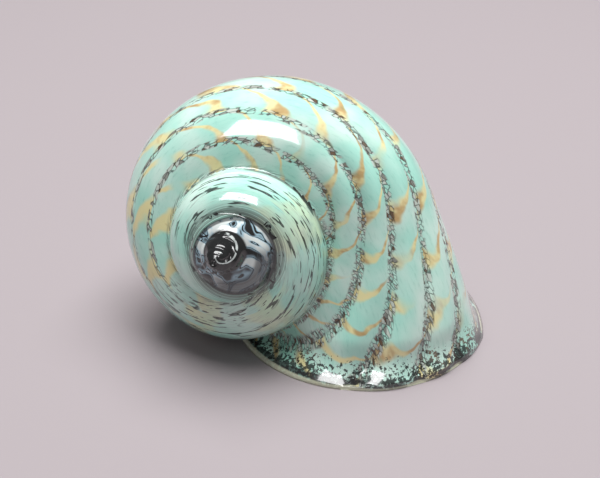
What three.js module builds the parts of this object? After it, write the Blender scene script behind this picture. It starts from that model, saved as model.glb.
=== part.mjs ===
// A blown glass turban shell, one hollow piece that lies on the flat rim of its flared mouth.
// Millimetres, +Z up. The origin is in the rim's plane, below the middle of the bounding box.
//
// The body is a coil: at each growth angle the tube's section is an ellipse in the half plane
// through the coil's axis, and it gets larger by the same ratio each turn. The last half turn
// widens into the mouth and is cut off level. A growth angle of 0 points to +X, and the coil
// grows clockwise as seen from its apex.
import * as THREE from 'three';

const DEGREE = Math.PI / 180;
const TURN = 2 * Math.PI;

// The coil's axis starts at the apex and points out of it, towards -Y.
const APEX = new THREE.Vector3(-30.05, -41.9, 49.2);
const AXIS_SIDEWAYS = 14.8 * DEGREE;
const AXIS_UPWARDS = 15.4 * DEGREE;

// The tube's section at growth angle 0
const COIL_RADIUS = 34.5; // from the axis to the section's middle
const COIL_DEPTH = 53.0; // from the apex to the section's middle, along the axis
const TUBE_ACROSS = 29.3; // half the section, across the axis
const TUBE_ALONG = 26.4; // half the section, along the axis
const GROWTH_PER_TURN = 2.255;
const SPIRE_FULLNESS = 0.044; // keeps the first turns from shrinking too fast
const FIRST_WHORL = 6; // whole turns before the last one

// The mouth: past this angle each size gains a share that rises with the angle squared.
const MOUTH_START = -12.8 * DEGREE;
const MOUTH_GAIN = { radius: 0.57, depth: 0.073, across: 0.555, along: 0.393, back: 0.3 };
const MOUTH_END = [115 * DEGREE, 150 * DEGREE]; // the tube ends between these, below the rim

// The lip: a wide cone trims the mouth to a circle, and a steep one fills it out to that circle.
const LIP_MIDDLE = new THREE.Vector3(17.9, 0.8, 0);
const LIP_RADIUS = 44;
const LIP_TRIM_SLOPE = 0.7; // how much wider the trimming cone is for each unit above the rim
const LIP_BELL_SLOPE = 1.3; // how much narrower the filling cone is

// The base: past the widest line, the last two whorls close over the back in one dome.
const BASE_DEPTH = 82.7; // from the apex to the dome's top
const BASE_FADE = [-60 * DEGREE, 50 * DEGREE]; // where the dome gives way to the round tube
const CORE_SLOPE = 0.5; // the solid cone on the axis, inside the whorls
const CORE_DEPTH = 50;
const SUTURE_BLEND = 0.03; // blend radius in the grooves, as a share of the distance to the apex
const LEAST_BLEND = 0.05;

// What turns a level distance from a cone into a distance square to its side
const CONE_SHARE = 0.8;
const BELL_SHARE = 0.6;
const CORE_SHARE = 0.9;
const MOUTH_CUT = 600; // pushes the tube away past the mouth

// The hollow: a bent horn from the rim up into the coil
const WALL = 5;
const LEAST_WALL = 3.5;
const RIM_WIDTH = 3.2;
const THROAT_ANGLE = -25 * DEGREE;
const THROAT_RISE = 1; // how steeply the throat leaves the rim
const HOLLOW_END = -250 * DEGREE;

// The facets
const HEART_DEPTH = 60; // where the first rays start, on the axis
const COLUMNS = 72;
const OUTER_RINGS = 40;
const THROAT_RINGS = 6;
const HORN_RINGS = 11;
const FARTHEST = 150;
const RAY_STEP = 2.5;
const HALVINGS = 24;
const EVENING_ROUNDS = 24;
const SLOPE_STEP = 0.01;

const axis = new THREE.Vector3(
  -Math.sin(AXIS_SIDEWAYS) * Math.cos(AXIS_UPWARDS),
  -Math.cos(AXIS_SIDEWAYS) * Math.cos(AXIS_UPWARDS),
  Math.sin(AXIS_UPWARDS),
);
const across = new THREE.Vector3(1, 0, 0).projectOnPlane(axis).normalize();
const upwards = new THREE.Vector3().crossVectors(axis, across);

const smoothStep = (low, high, value) => THREE.MathUtils.smoothstep(value, low, high);

function sectionAt(angle) {
  const turns = angle / TURN;
  const size = Math.pow(GROWTH_PER_TURN, turns) * Math.exp(SPIRE_FULLNESS * Math.min(turns, 0) ** 2);
  const gain = Math.max(0, angle - MOUTH_START) ** 2;
  return {
    radius: COIL_RADIUS * size * (1 + MOUTH_GAIN.radius * gain),
    depth: COIL_DEPTH * size * (1 + MOUTH_GAIN.depth * gain),
    across: TUBE_ACROSS * size * (1 + MOUTH_GAIN.across * gain),
    along: TUBE_ALONG * size * (1 + MOUTH_GAIN.along * gain),
    back: TUBE_ALONG * size * (1 + MOUTH_GAIN.back * gain),
  };
}

// The point at a distance from the axis, at a depth behind the apex and at a growth angle
function coilPoint(radius, depth, angle) {
  return APEX.clone()
    .addScaledVector(across, radius * Math.cos(angle))
    .addScaledVector(upwards, -radius * Math.sin(angle))
    .addScaledVector(axis, -depth);
}

// How far a point of the coil is outside a whorl: below 0 inside it, 0 on its surface
function outsideWhorl(radius, depth, angle, hasBase) {
  const section = sectionAt(angle);
  let middle = section.radius;
  let along = section.along;
  if (hasBase && depth > section.depth) {
    const tube = smoothStep(BASE_FADE[0], BASE_FADE[1], angle);
    middle = section.radius * tube;
    along = (BASE_DEPTH - section.depth) * (1 - tube) + section.back * tube;
  }
  const half = section.radius + section.across - middle;
  const reach = Math.hypot((radius - middle) / half, (depth - section.depth) / along);
  return (reach - 1) * Math.min(half, along);
}

// How far a point is outside the whole body, with its parts melted together in the grooves
function outsideBody(point) {
  const fromApex = point.clone().sub(APEX);
  const depth = -fromApex.dot(axis);
  const x = fromApex.dot(across);
  const y = fromApex.dot(upwards);
  const radius = Math.hypot(x, y);
  const angle = Math.atan2(-y, x);
  const height = Math.max(point.z, 0);
  const fromLip = Math.hypot(point.x - LIP_MIDDLE.x, point.y - LIP_MIDDLE.y) - LIP_RADIUS;
  const pastMouth = (angle - MOUTH_END[0]) / (MOUTH_END[1] - MOUTH_END[0]);
  const cutOff = MOUTH_CUT * THREE.MathUtils.clamp(pastMouth, 0, 1) ** 2;
  const last = outsideWhorl(radius, depth, angle, true) + cutOff;
  const trim = CONE_SHARE * (fromLip - LIP_TRIM_SLOPE * height);
  const parts = [
    angle > 0 ? Math.max(last, trim) : last,
    BELL_SHARE * (fromLip + LIP_BELL_SLOPE * height),
    Math.max(CORE_SHARE * (radius - CORE_SLOPE * depth), depth - CORE_DEPTH),
  ];
  for (let whorl = 1; whorl <= FIRST_WHORL; whorl += 1) {
    parts.push(outsideWhorl(radius, depth, angle - whorl * TURN, whorl === 1));
  }
  const blend = Math.max(SUTURE_BLEND * fromApex.length(), LEAST_BLEND);
  const least = Math.min(...parts);
  const sum = parts.reduce((total, part) => total + Math.exp((least - part) / blend), 0);
  return least - blend * Math.log(sum);
}

// The last point inside the body on a ray
function lastInside(origin, direction) {
  const at = (distance) => outsideBody(origin.clone().addScaledVector(direction, distance));
  let inside = 0;
  for (let distance = 0; distance < FARTHEST; distance += RAY_STEP) {
    if (at(distance) < 0) inside = distance;
  }
  let outside = inside + RAY_STEP;
  for (let halving = 0; halving < HALVINGS; halving += 1) {
    const middle = (inside + outside) / 2;
    if (at(middle) < 0) inside = middle;
    else outside = middle;
  }
  return origin.clone().addScaledVector(direction, inside);
}

// A fan of directions over the upper half space. Ring 0 is the coil's axis and ring 1 is level.
// The columns leave the axis evenly spaced and turn on the way, to be evenly spaced when level.
// The fan is drawn on a flat disc, and a Moebius map carries the disc onto the half space.
function fanDirection(ring, heading) {
  const tilt = { x: axis.x / (1 + axis.z), y: axis.y / (1 + axis.z) };
  const shift = (x, y, sx, sy) => {
    const nx = x + sx;
    const ny = y + sy;
    const dx = 1 + sx * x + sy * y;
    const dy = sx * y - sy * x;
    const d = dx * dx + dy * dy;
    return { x: (nx * dx + ny * dy) / d, y: (ny * dx - nx * dy) / d };
  };
  const level = shift(Math.cos(heading), Math.sin(heading), -tilt.x, -tilt.y);
  const turned = Math.atan2(level.y, level.x) - heading;
  const turn = Math.atan2(Math.sin(turned), Math.cos(turned));
  const bearing = heading + turn * ring * ring;
  const disc = shift(ring * Math.cos(bearing), ring * Math.sin(bearing), tilt.x, tilt.y);
  const square = disc.x * disc.x + disc.y * disc.y;
  return new THREE.Vector3(2 * disc.x, 2 * disc.y, 1 - square).divideScalar(1 + square);
}

const headings = Array.from({ length: COLUMNS }, (unused, column) =>
  Math.atan2(axis.y, axis.x) + (TURN * column) / COLUMNS);

// The outside, from the apex to the rim. The rays start on the coil's axis at the apex end
// and at the middle of the mouth at the rim.
function outerRings() {
  const heart = coilPoint(0, HEART_DEPTH, 0);
  const rings = [];
  for (let index = 1; index <= OUTER_RINGS; index += 1) {
    const ring = (index / OUTER_RINGS) ** 1.1;
    const origin = LIP_MIDDLE.clone().lerp(heart, 1 - ring ** 3);
    rings.push(headings.map((heading) => lastInside(origin, fanDirection(ring, heading))));
  }
  rings[OUTER_RINGS - 1].forEach((point) => { point.z = 0; });
  return rings;
}

// Steps along the steepest slope to the body's surface, or to a level below it
function ontoLevel(point, level) {
  const here = outsideBody(point);
  const slope = new THREE.Vector3(
    outsideBody(new THREE.Vector3(point.x + SLOPE_STEP, point.y, point.z)) - here,
    outsideBody(new THREE.Vector3(point.x, point.y + SLOPE_STEP, point.z)) - here,
    outsideBody(new THREE.Vector3(point.x, point.y, point.z + SLOPE_STEP)) - here,
  ).divideScalar(SLOPE_STEP);
  return point.addScaledVector(slope, (level - here) / slope.lengthSq());
}

// Evens out the facets: each point but the rim's moves to the middle of its four neighbours,
// and from there back onto the surface.
function evenedOut(rings, tip) {
  let net = rings;
  for (let round = 0; round < EVENING_ROUNDS; round += 1) {
    net = net.map((ring, row) => (row === net.length - 1 ? ring : ring.map((point, column) => {
      const before = row === 0 ? tip : net[row - 1][column];
      const middle = before.clone().add(net[row + 1][column])
        .add(ring[(column + 1) % COLUMNS]).add(ring[(column + COLUMNS - 1) % COLUMNS]);
      return ontoLevel(middle.multiplyScalar(0.25), 0);
    })));
  }
  return net;
}

// The hollow's ring at a growth angle, tapered towards the horn's closed end
function hornRing(angle, taper) {
  const section = sectionAt(angle);
  return headings.map((heading) => coilPoint(
    section.radius + (section.across - WALL) * taper * Math.cos(-heading),
    section.depth - (section.along - WALL) * taper * Math.sin(-heading),
    angle,
  ));
}

// The inside, from the rim's inner edge through the throat to the last ring of the horn
function innerRings(rim) {
  const edge = rim.map((point) => point.clone().add(
    LIP_MIDDLE.clone().sub(point).setLength(RIM_WIDTH)));
  const throat = hornRing(THROAT_ANGLE, 1);
  const above = hornRing(THROAT_ANGLE - 2 * DEGREE, 1);
  const rings = [edge];
  for (let index = 1; index <= THROAT_RINGS; index += 1) {
    const t = index / THROAT_RINGS;
    rings.push(edge.map((start, column) => {
      const end = throat[column];
      const length = start.distanceTo(end);
      const leave = LIP_MIDDLE.clone().sub(start).normalize();
      leave.z = THROAT_RISE;
      leave.setLength(length);
      const arrive = above[column].clone().sub(end).setLength(length);
      const point = start.clone().multiplyScalar((1 + 2 * t) * (1 - t) ** 2)
        .addScaledVector(leave, t * (1 - t) ** 2)
        .addScaledVector(end, t * t * (3 - 2 * t))
        .addScaledVector(arrive, t * t * (t - 1));
      return outsideBody(point) > -LEAST_WALL ? ontoLevel(point, -LEAST_WALL) : point;
    }));
  }
  for (let index = 1; index < HORN_RINGS; index += 1) {
    const t = Math.sin((index / HORN_RINGS) * 0.5 * Math.PI);
    const angle = THROAT_ANGLE + (HOLLOW_END - THROAT_ANGLE) * t;
    rings.push(hornRing(angle, Math.sqrt(1 - t ** 4)));
  }
  return rings;
}

// One closed surface: the start pole, the rings in order, the end pole
function closedSurface(start, rings, end) {
  const points = [start, ...rings.flat(), end];
  const index = [];
  const at = (ring, column) => 1 + ring * COLUMNS + (column % COLUMNS);
  for (let column = 0; column < COLUMNS; column += 1) {
    index.push(0, at(0, column), at(0, column + 1));
    for (let ring = 0; ring + 1 < rings.length; ring += 1) {
      const [a, b] = [at(ring, column), at(ring, column + 1)];
      const [c, d] = [at(ring + 1, column), at(ring + 1, column + 1)];
      index.push(a, c, d, a, d, b);
    }
    index.push(at(rings.length - 1, column), points.length - 1, at(rings.length - 1, column + 1));
  }
  const geometry = new THREE.BufferGeometry().setFromPoints(points);
  geometry.setIndex(index);
  geometry.computeVertexNormals();
  return geometry;
}

const glass = new THREE.MeshStandardMaterial({ color: 0xb5dbc4, roughness: 0.08, metalness: 0 });

const tip = lastInside(coilPoint(0, HEART_DEPTH, 0), axis);
const outer = evenedOut(outerRings(), tip);
const inner = innerRings(outer[OUTER_RINGS - 1]);
const hollowEnd = sectionAt(HOLLOW_END);
const shell = new THREE.Mesh(
  closedSurface(tip, [...outer, ...inner], coilPoint(hollowEnd.radius, hollowEnd.depth, HOLLOW_END)),
  glass,
);
shell.name = 'shell';

const turbanShell = new THREE.Group();
turbanShell.add(shell);

export default turbanShell;
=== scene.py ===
"""A blown glass turban shell, lying on the rim of its flared mouth.

The glass skin is one closed net of rings and columns: from the apex over the whorls to the lip,
round the polished lip, up through the throat and round the bent hollow to its closed end.
Lengths are metres, +Z is up, and the rim lies in the plane z = 0.
"""
import math

import bpy
import numpy as np
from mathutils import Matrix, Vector


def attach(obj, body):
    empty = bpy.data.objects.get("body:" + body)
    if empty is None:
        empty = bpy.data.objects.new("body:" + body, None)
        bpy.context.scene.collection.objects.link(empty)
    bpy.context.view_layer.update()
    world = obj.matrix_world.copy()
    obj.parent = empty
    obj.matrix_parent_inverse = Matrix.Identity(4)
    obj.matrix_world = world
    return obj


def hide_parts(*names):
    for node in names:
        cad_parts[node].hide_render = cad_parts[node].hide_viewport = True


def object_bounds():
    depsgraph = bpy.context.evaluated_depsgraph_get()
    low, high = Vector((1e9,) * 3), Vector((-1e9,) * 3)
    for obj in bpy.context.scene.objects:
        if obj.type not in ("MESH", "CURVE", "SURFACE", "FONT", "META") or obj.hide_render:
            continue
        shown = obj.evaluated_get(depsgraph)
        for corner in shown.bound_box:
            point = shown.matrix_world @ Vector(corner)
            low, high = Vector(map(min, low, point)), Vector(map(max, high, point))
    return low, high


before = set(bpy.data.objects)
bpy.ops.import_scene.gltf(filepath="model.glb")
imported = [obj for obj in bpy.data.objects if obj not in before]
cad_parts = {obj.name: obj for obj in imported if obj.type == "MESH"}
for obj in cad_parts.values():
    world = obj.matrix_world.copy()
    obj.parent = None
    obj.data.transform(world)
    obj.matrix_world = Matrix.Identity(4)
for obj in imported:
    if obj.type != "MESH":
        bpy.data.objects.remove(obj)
cad_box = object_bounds()

MM = 0.001
TURN = 2 * math.pi

# The coil, as in the CAD part
APEX = np.array([-30.05, -41.9, 49.2]) * MM
AXIS_SIDEWAYS = math.radians(14.8)
AXIS_UPWARDS = math.radians(15.4)
COIL_RADIUS = 34.5 * MM
COIL_DEPTH = 53.0 * MM
TUBE_ACROSS = 29.3 * MM
TUBE_ALONG = 26.4 * MM
GROWTH_PER_TURN = 2.255
SPIRE_FULLNESS = 0.044
FIRST_WHORL = 6
MOUTH_START = math.radians(-12.8)
MOUTH_GAIN = {"radius": 0.57, "depth": 0.073, "across": 0.555, "along": 0.393, "back": 0.3}
MOUTH_END = (math.radians(115), math.radians(150))
MOUTH_CUT = 0.6
LIP_MIDDLE = np.array([17.9, 0.8, 0.0]) * MM
LIP_RADIUS = 44 * MM
LIP_TRIM_SLOPE = 0.7
LIP_BELL_SLOPE = 1.3
BASE_DEPTH = 82.7 * MM
BASE_FADE = (math.radians(-60), math.radians(50))
CORE_SLOPE = 0.5
CORE_DEPTH = 50 * MM
CONE_SHARE = 0.8
BELL_SHARE = 0.6
CORE_SHARE = 0.9

# How softly the whorls melt together in the grooves: a little less than in the CAD part
SUTURE_BLEND = 0.022
LEAST_BLEND = 0.04 * MM

# The hollow
WALL = 5 * MM
LEAST_WALL = 5 * MM
LIP_WALL_SHARE = 0.6
LIP_WALL_GAIN = 2
LIP_LIFT = 0.9 * MM
RIM_WIDTH = 3.0 * MM
THROAT_ANGLE = math.radians(-25)
THROAT_STEP = math.radians(2)
THROAT_RISE = 1
HOLLOW_END = math.radians(-250)

# The net
COLUMNS = 300
OUTER_RINGS = 250
RING_CROWDING = 1.1
LIP_RINGS = 6
THROAT_RINGS = 20
HORN_RINGS = 24
HEART_DEPTH = 60 * MM
FARTHEST = 150 * MM
RAY_STEP = 2.5 * MM
HALVINGS = 20
EVENING_ROUNDS = 40
SETTLING_ROUNDS = 2
SLOPE_STEP = 0.02 * MM
LONGEST_MOVE = 3 * MM
FARTHEST_BESIDE = 50 * MM

# The bands of chips: lanes of equal bearing that climb round the section near the mouth
LANE_SPACING = math.radians(25)
LANE_START = math.radians(24)
CLIMB_START = math.radians(-115)
CLIMB_RATE = 0.149
CROWDING = 0.2
CROWDING_FADE = (math.radians(-70), math.radians(-10))

# The ribs between the bands, and the hollow above the rim that flares the lip
FLUTE_DEPTH = 2.6 * MM
FLUTE_FADE = (math.radians(-75), math.radians(5))
RIB_ROUNDNESS = 0.8
RIB_EDGE = (math.radians(5), math.radians(38))
RIM_FADE = 6 * MM
FLARE_DEPTH = 1.6 * MM
FLARE_REACH = 17 * MM
FLARE_FADE = (math.radians(-60), math.radians(-10))

# The button at the apex and the ring round it, each shifted off the coil's axis
NUB_SHIFT = (2.2 * MM, 2.4 * MM)
RING_SHIFT = (3.9 * MM, -0.2 * MM)
NUB_RADIUS = 6.6 * MM
NUB_HEIGHT = 1.5 * MM
NUB_CREST = 0.72
NUB_GROOVE = 0.5 * MM
NUB_TURNS = 1.6
GROOVE_SPREAD = 0.02
GROOVE_FADE = (0.1, 0.3)
APEX_FRONT = 20 * MM

# How far the layers of colour reach along the coil, in degrees of growth
LAST_WHORL_FADE = (-250.0, -205.0)
INNER_WHORL_START = (-560.0, -500.0)
INNER_WHORL_END = (-195.0, -235.0)
SPIRE_FADE = (-420.0, -470.0)
MOUTH_SIDE = (-90.0, -150.0)

# The streaks: a count that grows e-fold in so many degrees
STREAK_GROWTH = 220
STREAK_COUNT = 12.94
STREAK_START = 0.25
STREAK_TAIL = 0.75
STREAK_WIDTH = 0.07

# The chips and dashes, and how much the glass is drawn out along the coil
CHIP_SCALE = 1000.0
CHIP_PULL = 1.5
BAND_WIDTH = 0.12
DRAWN = 0.28
DASH_DRAWN = 0.16
HAIR_DRAWN = 0.06
ROW_DRAWN = 0.05
SEAM_CHIPS = (3.0 * MM, 1.8 * MM)
SEAM_LINE = (2.2 * MM, 0.8 * MM)

# Distances from the rim
RIM_CHIPS = 10.5 * MM
RIM_CHIPS_END = (14 * MM, 9 * MM)
RIM_INK = 2.4 * MM
RIM_INK_WIDTH = (1.2 * MM, 0.4 * MM)
RIM_GLASS = (1.8 * MM, 1.4 * MM)

# Distances from the middle of the ring and of the button
RING_RADIUS = 12.4 * MM
RING_FADE = (12.7 * MM, 12.2 * MM)
RING_LINE = (0.9 * MM, 0.5 * MM)
RING_HAIRS = (18.5 * MM, 13.0 * MM)
RING_CHIPS = (15.5 * MM, 14.5 * MM)
# Where the painted shade on the ring's lower right lies, and how far it reaches
PAINTED_SHADE_SHIFT = (0.8 * MM, 2.2 * MM)
PAINTED_SHADE_REACH = (6.6 * MM, 8.2 * MM)
NUB_FADE = (7.0 * MM, 6.3 * MM)
# Where the painted highlight on the button fades out
GLINT_FADE = (6.2 * MM, 5.6 * MM)
BEHIND_APEX = (-22 * MM, -28 * MM)

# The gloss, the light and the camera
GLOSS = {
    "Roughness": 0.16,
    "IOR": 1.5,
    "Coat Weight": 1.0,
    "Coat Roughness": 0.05,
    "Coat IOR": 1.5,
}
FLOOR_HALF = 3.0
FLOOR_ROUGHNESS = 0.9
LIT_POINT = (0, 0, 45 * MM)
WINDOW = {"direction": (-0.26, -0.61, 0.75), "distance": 1.0, "size": (0.52, 0.38), "power": 6.5}
OVERHEAD = {"direction": (0.05, 0.12, 0.99), "distance": 1.4, "size": (1.3, 1.1), "power": 42}
SKY_STRENGTH = 0.30
CAMERA_LENS = 66
SENSOR_WIDTH = 36
CAMERA_ELEVATION = math.radians(31.58)
CAMERA_AIM = Vector((-3.40, -14.50, 40.86)) * MM
CAMERA_DISTANCE = 368.5 * MM


def coil_axes():
    """The coil's axis out of the apex, and the two directions square to it."""
    axis = np.array([
        -math.sin(AXIS_SIDEWAYS) * math.cos(AXIS_UPWARDS),
        -math.cos(AXIS_SIDEWAYS) * math.cos(AXIS_UPWARDS),
        math.sin(AXIS_UPWARDS),
    ])
    across = np.array([1.0, 0.0, 0.0]) - axis * axis[0]
    across /= np.linalg.norm(across)
    return axis, across, np.cross(axis, across)


AXIS, ACROSS, UPWARDS = coil_axes()


def smooth_step(low, high, value):
    """0 below low and 1 above high, with a cubic that starts and ends level between."""
    t = np.clip((value - low) / (high - low), 0, 1)
    return t * t * (3 - 2 * t)


def growth(angle):
    """Size of the coil at a growth angle: one ratio a turn, softened in the spire."""
    turns = angle / TURN
    return GROWTH_PER_TURN ** turns * np.exp(SPIRE_FULLNESS * np.minimum(turns, 0) ** 2)


def section_at(angle):
    """Middle and half widths of the tube's ellipse. Past the mouth's start each one gains
    a share that rises with the angle squared."""
    size = growth(angle)
    gain = np.maximum(0, angle - MOUTH_START) ** 2
    return {
        "radius": COIL_RADIUS * size * (1 + MOUTH_GAIN["radius"] * gain),
        "depth": COIL_DEPTH * size * (1 + MOUTH_GAIN["depth"] * gain),
        "across": TUBE_ACROSS * size * (1 + MOUTH_GAIN["across"] * gain),
        "along": TUBE_ALONG * size * (1 + MOUTH_GAIN["along"] * gain),
        "back": TUBE_ALONG * size * (1 + MOUTH_GAIN["back"] * gain),
    }


def coil_point(radius, depth, angle):
    """The point at a distance from the axis, a depth behind the apex and a growth angle."""
    outwards = np.cos(angle)[..., None] * ACROSS - np.sin(angle)[..., None] * UPWARDS
    return APEX + radius[..., None] * outwards - depth[..., None] * AXIS


def coil_place(points):
    """Distance from the axis, depth behind the apex and angle round the axis."""
    from_apex = points - APEX
    x = from_apex @ ACROSS
    y = from_apex @ UPWARDS
    return np.hypot(x, y), -(from_apex @ AXIS), np.arctan2(-y, x)


def whorl_field(radius, depth, angle, has_base):
    """How far points lie outside a whorl, and their bearing round its section.

    In the half plane through the axis the whorl is an ellipse. Behind its widest line a whorl
    with a base is a quarter ellipse centred on the axis instead, which closes the back in a dome.
    """
    section = section_at(angle)
    behind = (depth > section["depth"]) & has_base
    tube = smooth_step(*BASE_FADE, angle)
    middle = np.where(behind, section["radius"] * tube, section["radius"])
    dome = (BASE_DEPTH - section["depth"]) * (1 - tube) + section["back"] * tube
    along = np.where(behind, dome, section["along"])
    half = section["radius"] + section["across"] - middle
    u = (radius - middle) / half
    v = (section["depth"] - depth) / along
    return (np.hypot(u, v) - 1) * np.minimum(half, along), np.arctan2(v, u)


def body_parts(points):
    """The fields of the body's parts: the last whorl, the filling bell, the core and the spire."""
    radius, depth, angle = coil_place(points)
    height = np.maximum(points[..., 2], 0)
    from_lip = np.hypot(*(points[..., :2] - LIP_MIDDLE[:2]).T).T - LIP_RADIUS
    past_mouth = np.clip((angle - MOUTH_END[0]) / (MOUTH_END[1] - MOUTH_END[0]), 0, 1)
    last = whorl_field(radius, depth, angle, True)[0] + MOUTH_CUT * past_mouth ** 2
    trim = CONE_SHARE * (from_lip - LIP_TRIM_SLOPE * height)
    parts = [
        np.where(angle > 0, np.maximum(last, trim), last),
        BELL_SHARE * (from_lip + LIP_BELL_SLOPE * height),
        np.maximum(CORE_SHARE * (radius - CORE_SLOPE * depth), depth - CORE_DEPTH),
    ]
    for whorl in range(1, FIRST_WHORL + 1):
        parts.append(whorl_field(radius, depth, angle - whorl * TURN, whorl == 1)[0])
    return np.stack(parts)


def outside_body(points):
    """How far points lie outside the body: the least of its parts' fields, melted together
    in the grooves by a blend that grows with the distance from the apex."""
    parts = body_parts(points)
    distance = np.linalg.norm(points - APEX, axis=-1)
    blend = np.maximum(SUTURE_BLEND * distance, LEAST_BLEND)
    least = parts.min(0)
    return least - blend * np.log(np.exp((least - parts) / blend).sum(0))


def field_slope(points):
    """The field's value and its gradient, by small steps."""
    here = outside_body(points)
    steps = np.eye(3) * SLOPE_STEP
    slope = np.stack([outside_body(points + step) - here for step in steps], -1) / SLOPE_STEP
    return here, slope


def onto_level(points, level):
    """One step along the steepest slope to a level of the field."""
    here, slope = field_slope(points)
    steepness = np.linalg.norm(slope, axis=-1)
    reach = (level - here) * steepness / np.maximum(steepness ** 2, 1e-6)
    reach = np.clip(reach, -LONGEST_MOVE, LONGEST_MOVE)
    return points + slope * (reach / steepness)[..., None]


def ray_fan(rings, headings):
    """Directions over the upper half space, by a Moebius map of a flat disc.

    Ring 0 is the coil's axis and ring 1 is level. The columns leave the axis evenly spaced
    and turn on the way, so that they are evenly spaced again when level.
    """
    tilt = complex(AXIS[0], AXIS[1]) / (1 + AXIS[2])
    even = np.exp(1j * headings)
    level = (even - tilt) / (1 - np.conj(tilt) * even)
    turn = np.angle(level / even)
    disc = rings[:, None] * np.exp(1j * (headings + turn * rings[:, None] ** 2))
    disc = (disc + tilt) / (1 + np.conj(tilt) * disc)
    square = np.abs(disc) ** 2
    return np.stack([2 * disc.real, 2 * disc.imag, 1 - square], -1) / (1 + square)[..., None]


def last_inside(origins, directions):
    """The last point inside the body on each ray, found by steps and then by halving."""
    inside = np.zeros(directions.shape[:-1])
    for distance in np.arange(0, FARTHEST, RAY_STEP):
        hit = outside_body(origins + distance * directions) < 0
        inside = np.where(hit, distance, inside)
    outside = inside + RAY_STEP
    for _ in range(HALVINGS):
        middle = (inside + outside) / 2
        hit = outside_body(origins + middle[..., None] * directions) < 0
        inside = np.where(hit, middle, inside)
        outside = np.where(hit, outside, middle)
    return origins + inside[..., None] * directions


def evened_out(net, tip):
    """Moves each point but the rim's to the middle of its four neighbours and back onto
    the surface, again and again, so that the grooves' steep sides get their share of points."""
    tips = np.broadcast_to(tip, (1, *net.shape[1:]))
    for _ in range(EVENING_ROUNDS):
        before = np.concatenate([tips, net[:-2]])
        sides = np.roll(net[:-1], 1, 1) + np.roll(net[:-1], -1, 1)
        net = np.concatenate([onto_level((before + net[1:] + sides) / 4, 0), net[-1:]])
    for _ in range(SETTLING_ROUNDS):
        net = np.concatenate([onto_level(net[:-1], 0), net[-1:]])
    return net


def outer_rings(headings):
    """The outside from the apex to the rim, and its tip. The rays start on the coil's axis
    for the apex and move to the middle of the mouth for the rim."""
    rings = (np.arange(1, OUTER_RINGS + 1) / OUTER_RINGS) ** RING_CROWDING
    heart = APEX - AXIS * HEART_DEPTH
    origins = LIP_MIDDLE + (heart - LIP_MIDDLE) * (1 - rings ** 3)[:, None]
    directions = ray_fan(rings, headings)
    net = last_inside(np.broadcast_to(origins[:, None], directions.shape), directions)
    net[-1, :, 2] = 0
    tip = last_inside(heart[None], AXIS[None])[0]
    return evened_out(net, tip), tip


def horn_ring(angle, taper, headings):
    """The hollow's ring at a growth angle, tapered towards the horn's closed end."""
    section = section_at(np.array(angle))
    return coil_point(
        section["radius"] + (section["across"] - WALL) * taper * np.cos(-headings),
        section["depth"] - (section["along"] - WALL) * taper * np.sin(-headings),
        np.full(headings.shape, angle),
    )


def inner_rings(rim, headings):
    """The lip's inner edge, the throat and the horn, and the horn's closed end.

    The throat is a Hermite curve in each column from the inner edge to the horn's first ring.
    It is moved in where it comes nearer than one wall to the body's level, or a share of one
    at the lip. The ribs and the flare are sunk into the outside later, so the glass is thinner
    under them. The horn follows the coil and narrows to a point.
    """
    inwards = LIP_MIDDLE - rim
    inwards /= np.linalg.norm(inwards, axis=-1, keepdims=True)
    edge = rim + inwards * RIM_WIDTH
    throat = horn_ring(THROAT_ANGLE, 1, headings)
    above = horn_ring(THROAT_ANGLE - THROAT_STEP, 1, headings)
    length = np.linalg.norm(throat - edge, axis=-1, keepdims=True)
    leave = inwards + np.array([0, 0, THROAT_RISE])
    leave *= length / np.linalg.norm(leave, axis=-1, keepdims=True)
    arrive = above - throat
    arrive *= length / np.linalg.norm(arrive, axis=-1, keepdims=True)
    rings = []
    for t in np.linspace(0, 1, THROAT_RINGS + 1)[1:]:
        ring = (edge * (1 + 2 * t) * (1 - t) ** 2 + leave * t * (1 - t) ** 2
                + throat * t * t * (3 - 2 * t) + arrive * t * t * (t - 1))
        wall = LEAST_WALL * min(1, LIP_WALL_SHARE + LIP_WALL_GAIN * t)
        thin = outside_body(ring) > -wall
        rings.append(np.where(thin[:, None], onto_level(ring, -wall), ring))
    for share in np.arange(1, HORN_RINGS) / HORN_RINGS:
        t = math.sin(share * math.pi / 2)
        angle = THROAT_ANGLE + (HOLLOW_END - THROAT_ANGLE) * t
        rings.append(horn_ring(angle, math.sqrt(1 - t ** 4), headings))
    end = section_at(np.array(HOLLOW_END))
    last = coil_point(end["radius"][None], end["depth"][None], np.array([HOLLOW_END]))[0]
    return edge, np.stack(rings), last


def rounded_lip(rim, edge):
    """Rings between the rim's outer edge and its inner edge. Their height is the lift times
    the fourth power of the distance from the lip's middle, as a share of half its width."""
    shares = np.linspace(0, 1, LIP_RINGS + 2)[1:-1]
    bow = 1 - np.abs(2 * shares - 1) ** 4
    lip = rim + (edge - rim) * shares[:, None, None]
    lip[..., 2] = LIP_LIFT * (1 - bow)[:, None]
    return lip


def closed_faces(rings, columns):
    """Triangles at both poles and quads between, in order, facing out."""
    column = np.arange(columns)
    beyond = (column + 1) % columns
    ring = 1 + columns * np.arange(rings - 1)[:, None]
    quads = np.stack([ring + column, ring + columns + column, ring + columns + beyond,
                      ring + beyond], -1).reshape(-1, 4)
    last = 1 + columns * (rings - 1)
    end = last + columns
    start_fan = np.stack([np.zeros(columns, int), 1 + column, 1 + beyond], -1)
    end_fan = np.stack([last + column, np.full(columns, end), last + beyond], -1)
    return start_fan.tolist() + quads.tolist() + end_fan.tolist()


def lane_of(growth_angle, bearing):
    """Which lane a place lies in. Bands of chips run along whole numbers: evenly spaced in
    bearing, climbing with the growth angle squared, and crowded together on the high side."""
    climbed = CLIMB_RATE * np.maximum(0, growth_angle - CLIMB_START) ** 2
    above = bearing - LANE_START - climbed
    crowded = CROWDING * smooth_step(*CROWDING_FADE, growth_angle)
    return (above + crowded * np.maximum(0, above)) / LANE_SPACING


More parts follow.
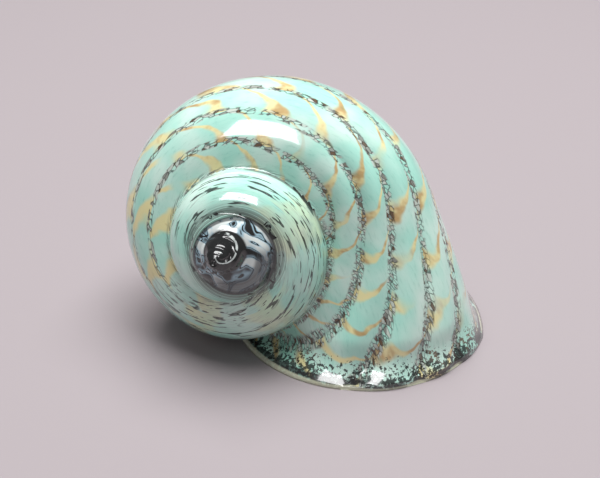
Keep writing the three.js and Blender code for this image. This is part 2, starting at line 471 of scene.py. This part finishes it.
def whorl_places(points, whorl, near_angle):
    """Growth angle and bearing of points on given whorls, unwrapped to be near an angle."""
    radius, depth, angle = coil_place(points)
    angle = near_angle + (angle - near_angle + math.pi) % TURN - math.pi
    growth_angle = angle - whorl * TURN
    return growth_angle, whorl_field(radius, depth, growth_angle, whorl < 2)[1]


def whorl_parts(points):
    """The fields of the whorls alone, from the last whorl to the first."""
    parts = body_parts(points)
    return np.concatenate([parts[:1], parts[3:]])


def nearest_whorl(points):
    """The number of the whorl whose surface a point lies on."""
    return np.argmin(whorl_parts(points), 0)


def from_rim(points):
    """Distance from the circle of the rim."""
    out = np.linalg.norm(points[..., :2] - LIP_MIDDLE[:2], axis=-1) - LIP_RADIUS
    return np.hypot(out, points[..., 2])


def fluted(net):
    """Sinks the bands into shallow valleys near the mouth, so that the strips between them
    stand out as ribs: the depth follows one less a power of the sine of the lane's half turn.
    A hollow above the rim, a squared sine of the distance from it, flares the lip."""
    whorl = nearest_whorl(net)
    growth_angle, bearing = whorl_places(net, whorl, coil_place(net)[2])
    rim = from_rim(net)
    shown = smooth_step(*RIB_EDGE, bearing) * (whorl == 0)
    valley = 1 - np.abs(np.sin(math.pi * lane_of(growth_angle, bearing))) ** RIB_ROUNDNESS
    valley = valley * smooth_step(*FLUTE_FADE, growth_angle) * smooth_step(0, RIM_FADE, rim)
    hollow = np.sin(math.pi * np.minimum(rim / FLARE_REACH, 1)) ** 2
    hollow = hollow * smooth_step(*FLARE_FADE, growth_angle)
    slope = field_slope(net)[1]
    slope /= np.linalg.norm(slope, axis=-1, keepdims=True)
    depth = shown * (FLUTE_DEPTH * valley + FLARE_DEPTH * hollow)
    return net - slope * depth[..., None]


def nub_place(points):
    """Distance from the nub's middle and angle round it."""
    from_nub = points - APEX
    x = from_nub @ ACROSS - NUB_SHIFT[0]
    y = from_nub @ UPWARDS - NUB_SHIFT[1]
    return np.hypot(x, y), np.arctan2(-y, x)


def twisted_nub(points):
    """Raises the button at the apex and cuts a spiral groove into it: the groove is a bell
    curve about whole turns of the angle plus the root of the distance from the middle."""
    radius, angle = nub_place(points)
    button = 1 - smooth_step(NUB_CREST * NUB_RADIUS, NUB_RADIUS, radius)
    spiral = angle / TURN + NUB_TURNS * np.sqrt(np.minimum(radius / NUB_RADIUS, 1))
    groove = np.exp(-((spiral + 0.5) % 1 - 0.5) ** 2 / GROOVE_SPREAD)
    groove = groove * smooth_step(*GROOVE_FADE, radius / NUB_RADIUS)
    in_front = (points - APEX) @ AXIS > -APEX_FRONT
    lift = np.where(in_front, button * (NUB_HEIGHT - NUB_GROOVE * groove), 0)
    return points + AXIS * lift[..., None]


def write_pattern_places(mesh, points, inner_from):
    """Stores the places that the glass's pattern follows, one for each face corner.

    "coil" is the growth angle in turns, the bearing in turns and the distance in metres to
    the whorl beside.
    "skin" is the length along the coil and across it in metres, and 1 inside the hollow.
    """
    corners = np.empty(len(mesh.loops), np.int32)
    mesh.loops.foreach_get("vertex_index", corners)
    counts = np.empty(len(mesh.polygons), np.int32)
    mesh.polygons.foreach_get("loop_total", counts)
    face = np.repeat(np.arange(len(counts)), counts)
    middles = np.stack([np.bincount(face, points[corners, i]) for i in range(3)], -1)
    middles /= counts[:, None]
    whorl = nearest_whorl(middles)[face]
    near = coil_place(middles)[2][face]
    growth_angle, bearing = whorl_places(points[corners], whorl, near)
    nearest = np.sort(whorl_parts(points), 0)
    beside = np.clip(nearest[1] - nearest[0], 0, FARTHEST_BESIDE)[corners]
    size = growth(growth_angle)
    along = (COIL_RADIUS + TUBE_ACROSS / 2) * size * TURN / math.log(GROWTH_PER_TURN)
    across = TUBE_ACROSS * size * bearing
    inside = (corners >= inner_from).astype(float)
    coil = np.stack([growth_angle / TURN, bearing / TURN, beside], -1)
    skin = np.stack([along, across, inside], -1)
    for name, values in (("coil", coil), ("skin", skin)):
        attribute = mesh.attributes.new(name, "FLOAT_VECTOR", "CORNER")
        attribute.data.foreach_set("vector", values.astype(np.float32).ravel())


def kept_in_box(points):
    """Raises what is below the table to it, and scales the skin about the box's middle in
    each direction where it would pass the CAD part's box, by a hair."""
    low, high = (np.array(corner) for corner in cad_box)
    middle = (low + high) / 2 * [1, 1, 0]
    points[:, 2] = np.maximum(points[:, 2], 0)
    reach = np.abs(points - middle).max(0)
    return middle + (points - middle) * np.minimum(1, (high - middle) / reach)


def glass_shell():
    """The whole shell as one closed skin, with its pattern's places stored in it."""
    start = math.atan2(AXIS[1], AXIS[0])
    headings = start + TURN * np.arange(COLUMNS) / COLUMNS
    outer, tip = outer_rings(headings)
    edge, inner, end = inner_rings(outer[-1], headings)
    lip = rounded_lip(outer[-1], edge)
    outer = twisted_nub(fluted(outer))
    tip = twisted_nub(tip[None])[0]
    rings = np.concatenate([outer, lip, edge[None], inner])
    points = np.concatenate([tip[None], rings.reshape(-1, 3), end[None]])
    points = kept_in_box(points)
    mesh = bpy.data.meshes.new("glass_shell")
    mesh.from_pydata(points.tolist(), [], closed_faces(len(rings), COLUMNS))
    write_pattern_places(mesh, points, 1 + COLUMNS * (OUTER_RINGS + LIP_RINGS))
    mesh.polygons.foreach_set("use_smooth", np.ones(len(mesh.polygons), bool))
    mesh.update()
    shell = bpy.data.objects.new("glass_shell", mesh)
    bpy.context.scene.collection.objects.link(shell)
    return shell


class Value:
    """A number, colour or vector on its way through a material's nodes. Sums with numbers
    make Math nodes."""

    def __init__(self, finish, socket):
        self.finish = finish
        self.socket = socket

    def math(self, operation, *others):
        return self.finish.node("Math", {"operation": operation}, (self, *others))

    def __add__(self, other):
        return self.math("ADD", other)

    def __radd__(self, other):
        return self.math("ADD", other)

    def __sub__(self, other):
        return self.math("SUBTRACT", other)

    def __rsub__(self, other):
        return self.finish.node("Math", {"operation": "SUBTRACT"}, (other, self))

    def __mul__(self, other):
        return self.math("MULTIPLY", other)

    def __rmul__(self, other):
        return self.math("MULTIPLY", other)

    def __truediv__(self, other):
        return self.math("DIVIDE", other)

    def __pow__(self, other):
        return self.math("POWER", other)

    def least(self, other):
        return self.math("MINIMUM", other)

    def most(self, other):
        return self.math("MAXIMUM", other)

    def size(self):
        return self.math("ABSOLUTE")

    def part(self):
        """What is left above the whole number below."""
        return self.math("FRACT")

    def step(self, low, high):
        """0 below low and 1 above high, smooth between. It falls instead if low is above high."""
        if low > high:
            return 1 - self.step(high, low)
        settings = {"interpolation_type": "SMOOTHSTEP"}
        return self.finish.node("MapRange", settings, {"Value": self, 1: low, 2: high})


class Finish:
    """A material that is built node by node."""

    def __init__(self, name):
        self.material = bpy.data.materials.new(name)
        self.material.use_nodes = True
        self.tree = self.material.node_tree
        self.shader = self.tree.nodes["Principled BSDF"]

    def node(self, kind, settings=None, inputs=(), output=0):
        """Adds a node, sets its settings and then its sockets, and gives one of its outputs."""
        node = self.tree.nodes.new("ShaderNode" + kind)
        for name, value in (settings or {}).items():
            setattr(node, name, value)
        pairs = inputs.items() if isinstance(inputs, dict) else enumerate(inputs)
        for name, value in pairs:
            self.connect(node.inputs[name], value)
        return Value(self, node.outputs[output])

    def connect(self, socket, value):
        """Links a value to a socket, or sets the socket to a plain number or colour."""
        if isinstance(value, Value):
            self.tree.links.new(value.socket, socket)
        else:
            socket.default_value = value

    def attribute(self, name):
        """The three numbers of a stored attribute."""
        stored = self.node("Attribute", {"attribute_name": name}, output="Vector")
        return [self.node("SeparateXYZ", inputs=(stored,), output=i) for i in range(3)]

    def vector(self, x, y, z=0.0):
        return self.node("CombineXYZ", inputs=(x, y, z))

    def mix(self, mask, low, high):
        """The low colour where the mask is 0 and the high colour where it is 1."""
        settings = {"data_type": "RGBA"}
        return self.node("Mix", settings, {"Factor": mask, 6: low, 7: high}, output=2)

    def noise(self, place, scale, detail=2.0, rough=0.5, twist=0.0):
        """Soft noise between 0 and 1, with the scale in blots a metre."""
        inputs = {"Vector": place, "Scale": scale, "Detail": detail,
                  "Roughness": rough, "Distortion": twist}
        return self.node("TexNoise", inputs=inputs)

    def cells(self, place, feature="F1", output="Distance"):
        """Voronoi cells the size of a chip: the distance to an edge, or the cell's colour."""
        inputs = {"Vector": place, "Scale": CHIP_SCALE}
        return self.node("TexVoronoi", {"feature": feature}, inputs, output)


def shade(red, green, blue):
    """A screen colour of 0 to 255 as the linear colour that a socket takes."""
    parts = np.array([red, green, blue]) / 255
    linear = np.where(parts <= 0.04045, parts / 12.92, ((parts + 0.055) / 1.055) ** 2.4)
    return (*linear.tolist(), 1.0)


MINT = shade(168, 223, 207)
MINT_LIGHT = shade(206, 234, 222)
MINT_DEEP = shade(120, 187, 169)
STRAW = shade(236, 220, 156)
AMBER = shade(194, 148, 78)
OLIVE = shade(132, 120, 50)
RUST = shade(128, 84, 48)
INK = shade(24, 26, 26)
CHIP_GREY = shade(140, 144, 136)
CHIP_BROWN = shade(104, 82, 64)
CHIP_LIGHT = shade(196, 206, 196)
SILVER = shade(206, 214, 212)
SLATE = shade(74, 84, 90)
ICE = shade(150, 182, 196)
LIP_GLASS = shade(206, 208, 182)
SEAM_GREY = shade(84, 92, 88)
FLOOR_GREY = shade(156, 148, 151)
SKY = shade(214, 210, 213)


class Pattern:
    """The places and masks that every layer of the glass reads."""

    def __init__(self, glass):
        self.glass = glass
        self.growth, self.bearing, self.beside = glass.attribute("coil")
        self.along, self.across, self.inside = glass.attribute("skin")
        self.place = glass.node("TexCoord", output="Object")
        self.skin = glass.vector(self.along, self.across)
        self.drawn = glass.vector(self.along * DRAWN, self.across)
        self.degrees = self.growth * 360
        self.last = self.degrees.step(*LAST_WHORL_FADE)
        self.inner = self.degrees.step(*INNER_WHORL_END) * self.degrees.step(*INNER_WHORL_START)
        self.spire = self.degrees.step(*SPIRE_FADE)
        self.wander = glass.noise(self.skin, 90.0, 2.0) - 0.5
        self.strip = self.lane_place().part()
        self.from_band = (self.strip - 0.5).size() * -1 + 0.5
        self.rim = self.rim_distance()
        self.from_nub = self.axis_distance(NUB_SHIFT)
        self.from_ring = self.axis_distance(RING_SHIFT)

    def lane_place(self):
        """The lane, as lane_of works it out, with a small wander."""
        climbed = (self.growth * TURN - CLIMB_START).most(0.0) ** 2.0
        above = self.bearing * TURN - LANE_START - CLIMB_RATE * climbed
        crowded = (self.growth * TURN).step(*CROWDING_FADE) * CROWDING
        lane = (above + crowded * above.most(0.0)) / LANE_SPACING
        return lane + self.wander * 0.14

    def rim_distance(self):
        """Distance from the rim's circle in metres."""
        x, y, z = (self.glass.node("SeparateXYZ", inputs=(self.place,), output=i) for i in range(3))
        x = x - float(LIP_MIDDLE[0])
        y = y - float(LIP_MIDDLE[1])
        out = (x * x + y * y) ** 0.5 - LIP_RADIUS
        return (out * out + z * z) ** 0.5

    def axis_distance(self, shift):
        """Distance in metres from a line along the coil's axis, and a metre more at the back."""
        settings = {"operation": "SUBTRACT"}
        middle = APEX + shift[0] * ACROSS + shift[1] * UPWARDS
        from_apex = self.glass.node("VectorMath", settings, (self.place, tuple(middle)))
        settings = {"operation": "CROSS_PRODUCT"}
        side = self.glass.node("VectorMath", settings, (from_apex, tuple(AXIS)))
        settings = {"operation": "DOT_PRODUCT"}
        ahead = self.glass.node("VectorMath", settings, (from_apex, tuple(AXIS)), output="Value")
        behind = ahead.step(*BEHIND_APEX)
        return self.glass.node("VectorMath", {"operation": "LENGTH"}, (side,), output="Value") + behind


def streak_mask(pattern):
    """Where the straw and amber streaks lie: a count along the coil that speeds up towards the
    mouth, pulled back along the low side of each strip so that every streak ends in a tail."""
    count = pattern.glass.node("Math", {"operation": "EXPONENT"}, (pattern.growth * (360 / STREAK_GROWTH),))
    tail = (1 - pattern.strip) ** 2.0 * pattern.degrees.step(-330.0, -90.0) * STREAK_TAIL
    count = count * STREAK_COUNT - STREAK_START + tail + pattern.wander * 0.8
    away = (count.part() - 0.5).size() * -1 + 0.5
    left = pattern.degrees.step(-90.0, -190.0)
    width = STREAK_WIDTH + pattern.strip ** 2.0 * 0.26 + left * 0.12
    soft = (away / width).step(1.0, 0.3)
    patches = pattern.glass.noise(pattern.skin, 55.0, 1.0).step(0.28, 0.46)
    return soft * patches * (1 - pattern.degrees.step(-215.0, -260.0) * 0.6)


def base_colour(pattern):
    """Mint opal with fine drawn streaks, lighter and deeper."""
    glass = pattern.glass
    fine = glass.noise(pattern.drawn, 900.0, 3.0, 0.7)
    cloud = glass.noise(pattern.skin, 60.0, 2.0, 0.5)
    colour = glass.mix(cloud.step(0.35, 0.7), MINT, MINT_LIGHT)
    colour = glass.mix(fine.step(0.5, 0.8) * 0.45, colour, MINT_DEEP)
    return glass.mix(fine.step(0.45, 0.2) * 0.4, colour, MINT_LIGHT)


def with_streaks(pattern, colour):
    """The streaks, from straw through amber to olive, and burnt to rust on the low strips."""
    glass = pattern.glass
    paler = pattern.degrees.step(*MOUTH_SIDE) * pattern.bearing.step(0.08, 0.14) * 0.14
    depth = glass.noise(pattern.skin, 120.0, 3.0, 0.6) - paler
    tint = glass.mix(depth.step(0.42, 0.62), STRAW, AMBER)
    tint = glass.mix(depth.step(0.62, 0.78), tint, OLIVE)
    burnt = pattern.degrees.step(*MOUTH_SIDE) * depth.step(0.42, 0.55)
    burnt = burnt * pattern.bearing.step(0.13, 0.07)
    tint = glass.mix(burnt * 0.6, tint, RUST)
    mask = streak_mask(pattern) * (1 - pattern.spire)
    return glass.mix(mask * 0.85, colour, tint)


def with_bands(pattern, colour):
    """Bands of small chips: cells with dark edges in the valleys between the strips. The cells
    are drawn out more and more towards the older glass."""
    glass = pattern.glass
    bent = pattern.across + pattern.wander * (1.6 * MM)
    pulled = glass.vector(pattern.along ** 3.0 * CHIP_PULL, bent)
    edge = glass.cells(pulled, "DISTANCE_TO_EDGE")
    tone = glass.node("SeparateColor", inputs=(glass.cells(pulled, output="Color"),))
    ragged = glass.noise(pattern.drawn, 420.0, 3.0, 0.6) - 0.5
    width = pattern.degrees.step(-60.0, 40.0) * 0.03 + BAND_WIDTH
    band = ((pattern.from_band + ragged * 0.14) / width).step(1.2, 0.75) * pattern.last
    seam = (pattern.beside + ragged * (3 * MM)).step(*SEAM_CHIPS)
    seam = seam * pattern.degrees.step(-30.0, -5.0)
    chip = glass.mix(tone.step(0.03, 0.09), CHIP_BROWN, CHIP_GREY)
    chip = glass.mix(tone.step(0.12, 0.30), chip, CHIP_LIGHT)
    chip = glass.mix(tone.step(0.42, 0.52), chip, colour)
    chip = glass.mix(edge.step(0.14, 0.03) * 0.72, chip, INK)
    bare = glass.noise(pattern.skin, 260.0, 2.0).step(0.33, 0.43)
    return glass.mix((band * bare).most(seam), colour, chip)


def with_dashes(pattern, colour):
    """Thin dark dashes drawn out along the inner whorl, in rows, and fine grey hairs between."""
    glass = pattern.glass
    thin = glass.vector(pattern.along * DASH_DRAWN, pattern.across)
    marks = glass.noise(thin, 850.0, 2.0, 0.55)
    thinner = glass.vector(pattern.along * HAIR_DRAWN, pattern.across)
    hairs = glass.noise(thinner, 2200.0, 2.0, 0.6)
    longer = glass.vector(pattern.along * ROW_DRAWN, pattern.across, 0.03)
    rows = glass.noise(longer, 330.0, 1.0)
    mask = marks.step(0.555, 0.595) * rows.step(0.36, 0.48) * pattern.inner
    hair = hairs.step(0.56, 0.68) * pattern.inner * 0.4
    hollow = marks.step(0.66, 0.70)
    dash = glass.mix(hollow, INK, CHIP_GREY)
    colour = glass.mix(hair, colour, CHIP_GREY)
    seam = pattern.beside.step(*SEAM_LINE) * hairs.step(0.42, 0.58) * 0.7
    colour = glass.mix(seam * pattern.degrees.step(0.0, -60.0), colour, SEAM_GREY)
    return glass.mix(mask * 0.9, colour, dash)


def with_rim(pattern, colour):
    """Dark mottled chips that thin out above the rim, and a pale line of bare glass at it."""
    glass = pattern.glass
    fine = glass.noise(pattern.place, 800.0, 3.0, 0.65)
    patches = glass.noise(pattern.place, 110.0, 2.0) - 0.5
    dense = 1 - pattern.rim / RIM_CHIPS + patches * 1.1
    zone = (fine + dense.least(0.7) * 0.26 - 0.62).step(0.0, 0.035)
    zone = zone * pattern.rim.step(*RIM_CHIPS_END)
    tint = glass.mix(patches.step(0.06, 0.16), INK, CHIP_BROWN)
    colour = glass.mix(zone * 0.92, colour, tint)
    above = (pattern.rim - RIM_INK).size().step(*RIM_INK_WIDTH) * patches.step(-0.12, -0.02)
    colour = glass.mix(above * 0.85, colour, INK)
    line = pattern.rim.step(*RIM_GLASS)
    return glass.mix(line * 0.85, colour, LIP_GLASS)


def painted_groove_glint(pattern):
    """A painted highlight: a broken silver line that winds into the button beside its groove, in place of
    the groove's glint.
    """
    glass = pattern.glass
    settings = {"operation": "SUBTRACT"}
    middle = APEX + NUB_SHIFT[0] * ACROSS + NUB_SHIFT[1] * UPWARDS
    place = glass.node("VectorMath", settings, (pattern.place, tuple(middle)))
    settings = {"operation": "DOT_PRODUCT"}
    x = glass.node("VectorMath", settings, (place, tuple(ACROSS)), output="Value")
    y = glass.node("VectorMath", settings, (place, tuple(-UPWARDS)), output="Value")
    turned = y.math("ARCTAN2", x) / TURN
    spiral = turned + (pattern.from_nub / NUB_RADIUS) ** 0.5 * NUB_TURNS + 0.25
    glint = (spiral.part() - 0.5).size().step(0.055, 0.025)
    broken = glass.noise(pattern.place, 420.0, 2.0).step(0.42, 0.5)
    return glint * broken * pattern.from_nub.step(*GLINT_FADE) * 0.8


def with_swirl(pattern, colour):
    """The apex: a black button in a ring of silver and ice blue with black outlines, a painted shade of
    slate and black hairs on the ring's lower right, a painted highlight of broken silver lines on the
    button, and grey hairs round the ring."""
    glass = pattern.glass
    hair = glass.noise(glass.vector(pattern.from_ring, 0.0, 0.0), 1500.0, 2.0, 0.6)
    flow = glass.noise(pattern.place, 95.0, 1.0, 0.5, 2.2)
    blot = glass.noise(pattern.place, 330.0, 2.0, 0.5, 0.8)
    around = pattern.from_ring.step(*RING_HAIRS)
    colour = glass.mix(around * hair.step(0.40, 0.50) * 0.9, colour, SEAM_GREY)
    chips = pattern.from_ring.step(*RING_CHIPS) * blot.step(0.60, 0.63)
    colour = glass.mix(chips, colour, INK)
    ring = glass.mix(flow.step(0.38, 0.5), SLATE, ICE)
    ring = glass.mix(flow.step(0.52, 0.6), ring, SILVER)
    outline = (flow - 0.5).size().step(0.028, 0.014).most(flow.step(0.40, 0.37))
    ring = glass.mix(outline, ring, INK)
    ring = glass.mix(hair.step(0.62, 0.7) * 0.3, ring, INK)
    # Painted shade: slate and black hairs on the ring's lower right side, where the button's middle lies
    # farther off than the ring's
    painted_shade = (pattern.from_nub - pattern.from_ring).step(*PAINTED_SHADE_SHIFT)
    painted_shade = painted_shade * pattern.from_ring.step(*PAINTED_SHADE_REACH)
    ring = glass.mix(painted_shade * 0.8, ring, glass.mix(hair.step(0.44, 0.54), SLATE, INK))
    edge = (pattern.from_ring - RING_RADIUS).size().step(*RING_LINE) * 0.8
    colour = glass.mix(pattern.from_ring.step(*RING_FADE), colour, ring)
    colour = glass.mix(edge, colour, INK)
    colour = glass.mix(pattern.from_nub.step(*NUB_FADE), colour, INK)
    # Painted highlight: broken silver lines along the button's spiral groove
    return glass.mix(painted_groove_glint(pattern), colour, SILVER)


def glass_finish():
    """Opal glass under a clear fired skin: every layer of colour lies below the gloss."""
    glass = Finish("opal_glass")
    pattern = Pattern(glass)
    colour = base_colour(pattern)
    plain = colour
    colour = with_streaks(pattern, colour)
    colour = with_bands(pattern, colour)
    colour = with_dashes(pattern, colour)
    colour = with_swirl(pattern, colour)
    colour = glass.mix(pattern.inside * 0.75, colour, plain)
    colour = with_rim(pattern, colour)
    glass.connect(glass.shader.inputs["Base Color"], colour)
    for name, value in GLOSS.items():
        glass.connect(glass.shader.inputs[name], value)
    return glass.material


def floor():
    """A plain pale floor under the rim."""
    corners = [(FLOOR_HALF * x, FLOOR_HALF * y, 0) for x, y in ((-1, -1), (1, -1), (1, 1), (-1, 1))]
    mesh = bpy.data.meshes.new("floor")
    mesh.from_pydata(corners, [], [(0, 1, 2, 3)])
    ground = bpy.data.objects.new("floor", mesh)
    bpy.context.scene.collection.objects.link(ground)
    finish = Finish("pale_floor")
    finish.connect(finish.shader.inputs["Base Color"], FLOOR_GREY)
    finish.connect(finish.shader.inputs["Roughness"], FLOOR_ROUGHNESS)
    mesh.materials.append(finish.material)
    return ground


def soft_light(name, direction, distance, size, power):
    """An area light of a width and a height, aimed at the shell's middle from a direction."""
    light = bpy.data.lights.new(name, "AREA")
    light.shape = "RECTANGLE"
    light.size, light.size_y = size
    light.energy = power
    lamp = bpy.data.objects.new(name, light)
    bpy.context.scene.collection.objects.link(lamp)
    towards = Vector(direction).normalized()
    lamp.location = Vector(LIT_POINT) + towards * distance
    lamp.rotation_euler = towards.to_track_quat("Z", "Y").to_euler()
    return lamp


def studio():
    """A window in front that only shows in the gloss, a broad soft light overhead that never
    shows in it, and a weak pale sky."""
    window = soft_light("window", **WINDOW)
    window.visible_diffuse = False
    overhead = soft_light("overhead", **OVERHEAD)
    overhead.visible_glossy = False
    world = bpy.data.worlds.new("pale_sky")
    world.use_nodes = True
    sky = world.node_tree.nodes["Background"]
    sky.inputs["Color"].default_value = SKY
    sky.inputs["Strength"].default_value = SKY_STRENGTH
    bpy.context.scene.world = world


def camera():
    """Looks along +Y from above, as the shell is seen on a table."""
    lens = bpy.data.cameras.new("camera")
    lens.lens = CAMERA_LENS
    lens.sensor_width = SENSOR_WIDTH
    view = bpy.data.objects.new("camera", lens)
    bpy.context.scene.collection.objects.link(view)
    back = Vector((0, -math.cos(CAMERA_ELEVATION), math.sin(CAMERA_ELEVATION)))
    view.location = CAMERA_AIM + back * CAMERA_DISTANCE
    view.rotation_euler = (math.pi / 2 - CAMERA_ELEVATION, 0, 0)
    bpy.context.scene.camera = view


camera()
studio()
floor()
shell = glass_shell()
shell.data.materials.append(glass_finish())
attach(shell, "root")
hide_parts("shell")
bpy.context.scene.view_settings.view_transform = "Standard"
